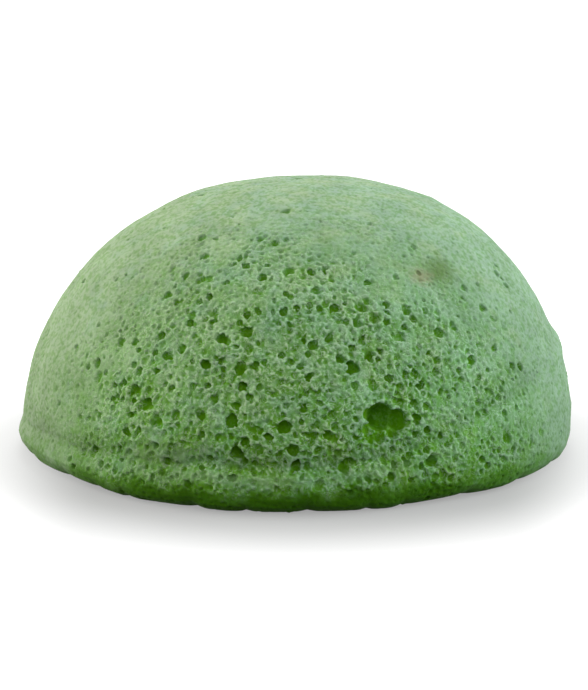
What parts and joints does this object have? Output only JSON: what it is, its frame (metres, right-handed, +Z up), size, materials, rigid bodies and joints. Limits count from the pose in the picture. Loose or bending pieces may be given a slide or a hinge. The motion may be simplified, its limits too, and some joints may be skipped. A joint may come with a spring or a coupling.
{
  "type": "konjac sponge",
  "caption": "Half-ball face sponge of open konjac foam, with a flat resting side, a rounded lip and pores all over.",
  "frame": {"origin": "middle of the flat resting face", "axes": "+Z up from the resting face to the crown, -Y towards the front that the picture shows, +X to its right"},
  "size_m": [0.0798, 0.0804, 0.0384],
  "materials": {
    "konjac_foam": "matte open foam, pale green skin with deep green pores"
  },
  "bodies": {
    "root": {"sponge": "konjac_foam"}
  },
  "joints": []
}
